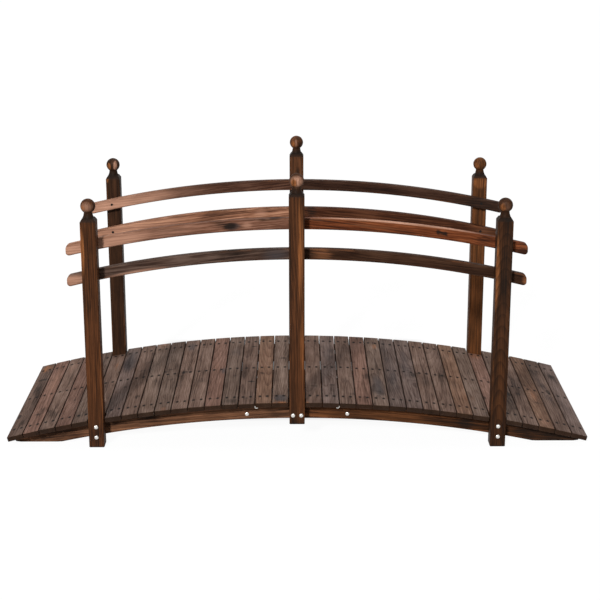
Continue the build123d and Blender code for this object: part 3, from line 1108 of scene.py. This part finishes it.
# Looks of each post: the pith, the tone, and marks in the order of post_mark's values
# On every post, the flare from 0.94 to 0.99 on the left of the ball is a painted highlight
POST_LOOKS = {
    "post_front_left": (
        (0.07, 0.03, 0.03), (0.84, 0.86, 0.88),
        ("flare", 0.66, 0.93, -0.027, 0.007, 1.2), ("scorch", 0.20, 0.70, 0.000, 0.008, 0.6),
        ("scorch", 0.72, 0.92, -0.012, 0.007, 0.6), ("flare", 0.02, 0.50, 0.028, 0.006, 0.7),
        ("scorch", -0.05, 0.12, 0.0, 0.050, 0.6),
        ("flare", 0.94, 0.99, -0.020, 0.020, 0.9), ("pale", 0.935, 1.005, -0.010, 0.050, 0.68),
    ),
    "post_front_middle": (
        (-0.05, 0.05, 0.02), (0.74, 0.78, 0.84),
        ("flare", 0.40, 1.00, 0.014, 0.015, 0.95), ("flare", 0.00, 0.60, 0.018, 0.011, 0.85),
        ("scorch", 0.00, 0.91, -0.020, 0.016, 0.60), ("scorch", -0.05, 0.05, 0.0, 0.050, 0.7),
        ("flare", 0.94, 0.99, -0.012, 0.018, 1.0), ("pale", 0.935, 1.005, 0.0, 0.050, 0.85),
    ),
    "post_front_right": (
        (0.0, 0.05, 0.11), (0.50, 0.56, 0.64),
        ("flare", 0.50, 0.93, -0.027, 0.0065, 1.1), ("scorch", 0.35, 1.00, 0.008, 0.030, 0.85),
        ("flare", -0.10, 0.50, 0.0, 0.030, 0.35), ("scorch", -0.05, 0.04, 0.0, 0.050, 0.6),
        ("flare", 0.94, 0.99, -0.014, 0.018, 0.8), ("pale", 0.935, 1.005, -0.005, 0.050, 0.28),
    ),
    "post_back_left": (
        (0.06, -0.05, 0.02), (0.44, 0.54, 0.70),
        ("flare", 0.895, 0.925, -0.022, 0.010, 1.0), ("flare", 0.94, 0.99, -0.016, 0.012, 1.1),
        ("pale", 0.935, 1.005, 0.012, 0.012, 1.0), ("scorch", 0.94, 1.00, 0.000, 0.007, 0.8),
        ("flare", 0.1, 0.9, -0.030, 0.006, 0.4),
    ),
    "post_back_middle": (
        (-0.06, -0.04, 0.01), (1.25, 1.38, 1.6),
        ("scorch", 0.82, 0.88, 0.005, 0.020, 0.8), ("flare", 0.94, 0.99, -0.016, 0.018, 0.9),
        ("scorch", 0.94, 0.99, 0.014, 0.010, 0.9), ("pale", 0.94, 1.00, -0.002, 0.008, 0.7),
    ),
    "post_back_right": (
        (0.07, -0.05, -0.02), (1.35, 1.38, 1.25),
        ("flare", 0.86, 0.93, 0.0, 0.04, 1.1), ("flare", 0.94, 0.99, -0.016, 0.018, 0.7),
    ),
}


# Fixings
DOME_STEPS = 7
WASHER_PROFILE = ((0.97, 0.0), (1.0, 0.0003), (1.0, 0.0013), (0.97, 0.0016))
NUT_PROFILE = ((0.90, 0.0016), (1.0, 0.0022), (1.0, 0.0078), (0.90, 0.0084))
# The end of a bolt past its nut, with every other ring at the bottom of the thread
THREAD_PROFILE = [(1.0 if step % 2 else 0.86, 0.0080 + step * 0.0006) for step in range(13)] + [(0.7, 0.0162)]
SCREW_PROFILE = (
    (0.8, -0.002), (1.0, 0.0002), (0.97, 0.0006), (0.80, 0.0005), (0.62, 0.0004), (0.3, 0.0003),
)
MIDDLE_BOLT_SPACING = 0.032
MIDDLE_BOLT_HEIGHT = 0.1328
END_BOLT_SPACING = 0.043
END_BOLT_HEIGHT = 0.0637
# (x, z) of the bolts through the posts and of those through the splice plates
POST_BOLTS = [(side * MIDDLE_BOLT_SPACING / 2, MIDDLE_BOLT_HEIGHT) for side in SIDES.values()] + [
    (side * END_POST_X, END_BOLT_HEIGHT + lift * END_BOLT_SPACING / 2)
    for side in SIDES.values()
    for lift in (-1, 1)
]
SPLICE_BOLTS = [(side * x, z) for side in SIDES.values() for x, z in ((0.161, 0.147), (0.199, 0.117))]


def dome_profile(fixings):
    """A carriage bolt's head: a thin rim and a round dome."""
    rim = 0.0009
    rise = fixings.bolt_dome - rim
    profile = [(0.9, -0.0004), (1.0, 0.0), (1.0, rim * 0.7), (0.975, rim)]
    for step in range(1, DOME_STEPS):
        angle = math.pi / 2 * step / DOME_STEPS
        profile.append((0.97 * math.cos(angle), rim + rise * math.sin(angle)))
    profile.append((0.08, fixings.bolt_dome))
    return profile


def add_nut(skin, centre, axis, fixings, start):
    """A washer, a hexagon nut with chamfered corners and the end of the bolt."""
    skin.turn(centre, axis, WASHER_PROFILE, fixings.washer / 2, 32)
    skin.turn(centre, axis, NUT_PROFILE, fixings.nut_width / math.sqrt(3), 6, start)
    skin.turn(centre, axis, THREAD_PROFILE, fixings.bolt_thread / 2, 20)


def bolt_runs():
    """Every carriage bolt as (what it holds, x, z, y of its head's seat, y of its nut's seat)."""
    inner = STRINGER_FACE - STRINGER_THICKNESS
    for face, direction in FACES.items():
        for x, z in POST_BOLTS:
            seat = inner - SPLICE_THICKNESS if abs(x) < MIDDLE_BOLT_SPACING else inner
            yield face, x, z, direction * POST_FACE, direction * seat
        for x, z in SPLICE_BOLTS:
            yield "splice", x, z, direction * STRINGER_FACE, direction * (inner - SPLICE_THICKNESS)
    for x, z in SPLICE_BOLTS:
        yield "splice", x, z, -STRINGER_THICKNESS / 2, STRINGER_THICKNESS / 2 + SPLICE_THICKNESS


class MOONBRIDGE_OT_bolts(bpy.types.Operator):
    """Fits the domed carriage bolts with their washers and nuts"""

    bl_idname = "moon_bridge.fit_bolts"
    bl_label = "Fit bolts"

    def execute(self, context):
        fixings = context.scene.moon_bridge_fixings
        material = metal_material("zinc_plated_bolts", (0.72, 0.70, 0.66), 1.0, 0.30, 0.75)
        profile = dome_profile(fixings)
        chance = random.Random(7)
        heads = {face: Skin() for face in FACES}
        rest = Skin()
        for held, x, z, head_y, nut_y in bolt_runs():
            out = Vector((0, math.copysign(1, head_y), 0))
            seat = Vector((x, head_y, z))
            heads.get(held, rest).turn(seat, out, profile, fixings.bolt_head / 2, 32)
            add_nut(rest, Vector((x, nut_y, z)), -out, fixings, chance.uniform(0, math.pi / 3))
        for face, skin in heads.items():
            node = f"post_bolts_{face}"
            skin.piece(f"{node}_domes", material, "bolts", [node])
        rest.piece("splice_bolts_and_nuts", material, "bolts")
        return {"FINISHED"}


# Distances of the handrail screws from mid span
SCREW_PLACES = (0.016, END_POST_X + 0.004)


class MOONBRIDGE_OT_screws(bpy.types.Operator):
    """Drives the screws that hold the handrails to the posts"""

    bl_idname = "moon_bridge.drive_screws"
    bl_label = "Drive screws"

    def execute(self, context):
        sizes = context.scene.moon_bridge_timber
        fixings = context.scene.moon_bridge_fixings
        material = metal_material("black_screws", (0.010, 0.008, 0.007), 0.2, 0.7, 0.5, 0.15)
        screws = Skin()
        for direction in FACES.values():
            y = direction * (RAIL_LINE - RAIL_THICKNESS / 2)
            for level in ("upper", "lower"):
                for hand, side in SIDES.items():
                    for x in SCREW_PLACES:
                        place = Vector((side * x, y, rail_middle(f"rail_front_{level}_{hand}", x, sizes)))
                        inward = Vector((0, -direction, 0))
                        screws.turn(place, inward, SCREW_PROFILE, fixings.screw_head / 2, 16)
        screws.piece("handrail_screws", material, "bolts")
        return {"FINISHED"}


def rail_middle(node, x, sizes):
    """Height of the middle of the handrail's section at x."""
    crown, top_radius = rail_arc(node, sizes)
    return crown - top_radius + math.sqrt((top_radius - sizes.rail_height / 2) ** 2 - x**2)


# Stage
WHITE = (1.0, 1.0, 1.0, 1.0)
# The photograph's width in pixels, and how far its frame lies off the camera's axis
PHOTO_WIDTH = 600
FRAME_OFFSET = (3.0, -21.82)
FLOOR_REACH = 60.0
# The patch of floor that shows the bridge's shadow: how far from the patch's middle it has faded out
# and how far it is whole, along the bridge and across it, and where its middle lies across
SHADOW_ALONG = (0.66, 0.50)
SHADOW_ACROSS = (0.55, 0.42)
SHADOW_MIDDLE = 0.40


class MOONBRIDGE_OT_stage(bpy.types.Operator):
    """Sets up the floor, the lamps, the surroundings and the camera"""

    bl_idname = "moon_bridge.set_stage"
    bl_label = "Set stage"

    def execute(self, context):
        scene = context.scene
        stage = scene.moon_bridge_stage
        scene.view_settings.view_transform = "Standard"
        lay_floor(scene, stage)
        light_surroundings(scene, stage)
        hang_sun(scene, "key_lamp", stage.key_strength, azimuth=-19, elevation=28, softness=7)
        hang_sun(scene, "top_lamp", stage.top_strength, azimuth=150, elevation=68, softness=60)
        place_camera(scene, stage)
        return {"FINISHED"}


def seen_directly(shader):
    """1 for camera, glossy and transmission rays, which see the background, and 0 for the others."""
    path = shader.node("ShaderNodeLightPath", output="Is Camera Ray")
    glossy = shader.maths("MAXIMUM", path, path.output("Is Glossy Ray"))
    return shader.maths("MAXIMUM", glossy, path.output("Is Transmission Ray"))


def lay_floor(scene, stage):
    """Pale paper that also glows where it is seen directly, but not where the bridge's shadow shows."""
    mesh = bpy.data.meshes.new("floor")
    corners = [(x * FLOOR_REACH, y * FLOOR_REACH, 0) for x, y in ((-1, -1), (1, -1), (1, 1), (-1, 1))]
    mesh.from_pydata(corners, [], [(0, 1, 2, 3)])
    floor = bpy.data.objects.new("floor", mesh)
    scene.collection.objects.link(floor)
    material = bpy.data.materials.new("pale_floor")
    shader = Shader(material)
    tone = opaque([stage.floor_tone] * 3)
    paper = shader.node("ShaderNodeBsdfDiffuse", {}, {"Color": tone})
    glow = shader.node("ShaderNodeEmission", {}, {"Color": WHITE, "Strength": stage.floor_glow})
    along, across, _ = shader.parts(shader.node("ShaderNodeTexCoord", output="Object"))
    aside = abs(across - SHADOW_MIDDLE)
    shadowed = shader.step(abs(along), *SHADOW_ALONG) * shader.step(aside, *SHADOW_ACROSS)
    share = (1 - shadowed) * stage.glow_share
    bright = shader.node("ShaderNodeMixShader", {}, {0: share, 1: paper, 2: glow})
    surface = shader.node("ShaderNodeMixShader", {}, {0: seen_directly(shader), 1: paper, 2: bright})
    shader.node("ShaderNodeOutputMaterial", {}, {"Surface": surface})
    mesh.materials.append(material)


def light_surroundings(scene, stage):
    world = bpy.data.worlds.new("studio")
    scene.world = world
    shader = Shader(world)
    soft = shader.node("ShaderNodeBackground", {}, {"Color": WHITE, "Strength": stage.ambient})
    backdrop = shader.node("ShaderNodeBackground", {}, {"Color": WHITE, "Strength": 1.0})
    surface = shader.node("ShaderNodeMixShader", {}, {0: seen_directly(shader), 1: soft, 2: backdrop})
    shader.node("ShaderNodeOutputWorld", {}, {"Surface": surface})


def hang_sun(scene, name, strength, azimuth, elevation, softness):
    """A broad lamp: azimuth from the front towards the right, elevation above the floor, in degrees."""
    lamp = bpy.data.lights.new(name, "SUN")
    lamp.energy = strength
    lamp.angle = math.radians(softness)
    holder = bpy.data.objects.new(name, lamp)
    scene.collection.objects.link(holder)
    turn, rise = math.radians(azimuth), math.radians(elevation)
    source = Vector((math.sin(turn) * math.cos(rise), -math.cos(turn) * math.cos(rise), math.sin(rise)))
    holder.rotation_euler = source.to_track_quat("Z", "Y").to_euler()
    holder.location = source * 6


def place_camera(scene, stage):
    camera = bpy.data.cameras.new("camera")
    camera.lens = stage.lens
    camera.sensor_width = 36.0
    camera.shift_x, camera.shift_y = (offset / PHOTO_WIDTH for offset in FRAME_OFFSET)
    camera.clip_end = 200.0
    holder = bpy.data.objects.new("camera", camera)
    scene.collection.objects.link(holder)
    holder.matrix_world = (
        Matrix.Translation(stage.camera_place)
        @ Matrix.Rotation(stage.camera_turn, 4, "Z")
        @ Matrix.Rotation(math.pi / 2 - stage.camera_pitch, 4, "X")
        @ Matrix.Rotation(stage.camera_roll, 4, "Z")
    )
    scene.camera = holder


class MOONBRIDGE_PT_panel(bpy.types.Panel):
    """Lists the pieces of the bridge and the sizes and colours behind them"""

    bl_idname = "MOONBRIDGE_PT_panel"
    bl_label = "Moon bridge"
    bl_space_type = "VIEW_3D"
    bl_region_type = "UI"
    bl_category = "Moon bridge"

    def draw(self, context):
        layout = self.layout
        for operator in OPERATORS:
            layout.operator(operator.bl_idname)
        for group_name in GROUPS:
            box = layout.box()
            group = getattr(context.scene, group_name)
            for name in group.__annotations__:
                box.prop(group, name)


GROUPS = {
    "moon_bridge_timber": TimberSizes,
    "moon_bridge_fixings": FixingSizes,
    "moon_bridge_wood": WoodColours,
    "moon_bridge_stage": StageSettings,
}
OPERATORS = (
    MOONBRIDGE_OT_deck,
    MOONBRIDGE_OT_nails,
    MOONBRIDGE_OT_stringers,
    MOONBRIDGE_OT_handrails,
    MOONBRIDGE_OT_posts,
    MOONBRIDGE_OT_bolts,
    MOONBRIDGE_OT_screws,
    MOONBRIDGE_OT_stage,
)


def register():
    for group_name, group in GROUPS.items():
        bpy.utils.register_class(group)
        setattr(bpy.types.Scene, group_name, PointerProperty(type=group))
    for operator in OPERATORS:
        bpy.utils.register_class(operator)
    bpy.utils.register_class(MOONBRIDGE_PT_panel)


def unregister():
    bpy.utils.unregister_class(MOONBRIDGE_PT_panel)
    for operator in reversed(OPERATORS):
        bpy.utils.unregister_class(operator)
    for group_name, group in GROUPS.items():
        delattr(bpy.types.Scene, group_name)
        bpy.utils.unregister_class(group)


def main():
    register()
    bpy.ops.moon_bridge.lay_deck()
    bpy.ops.moon_bridge.drive_nails()
    bpy.ops.moon_bridge.saw_stringers()
    bpy.ops.moon_bridge.saw_handrails()
    bpy.ops.moon_bridge.turn_posts()
    bpy.ops.moon_bridge.fit_bolts()
    bpy.ops.moon_bridge.drive_screws()
    bpy.ops.moon_bridge.set_stage()


if __name__ == "__main__":
    main()
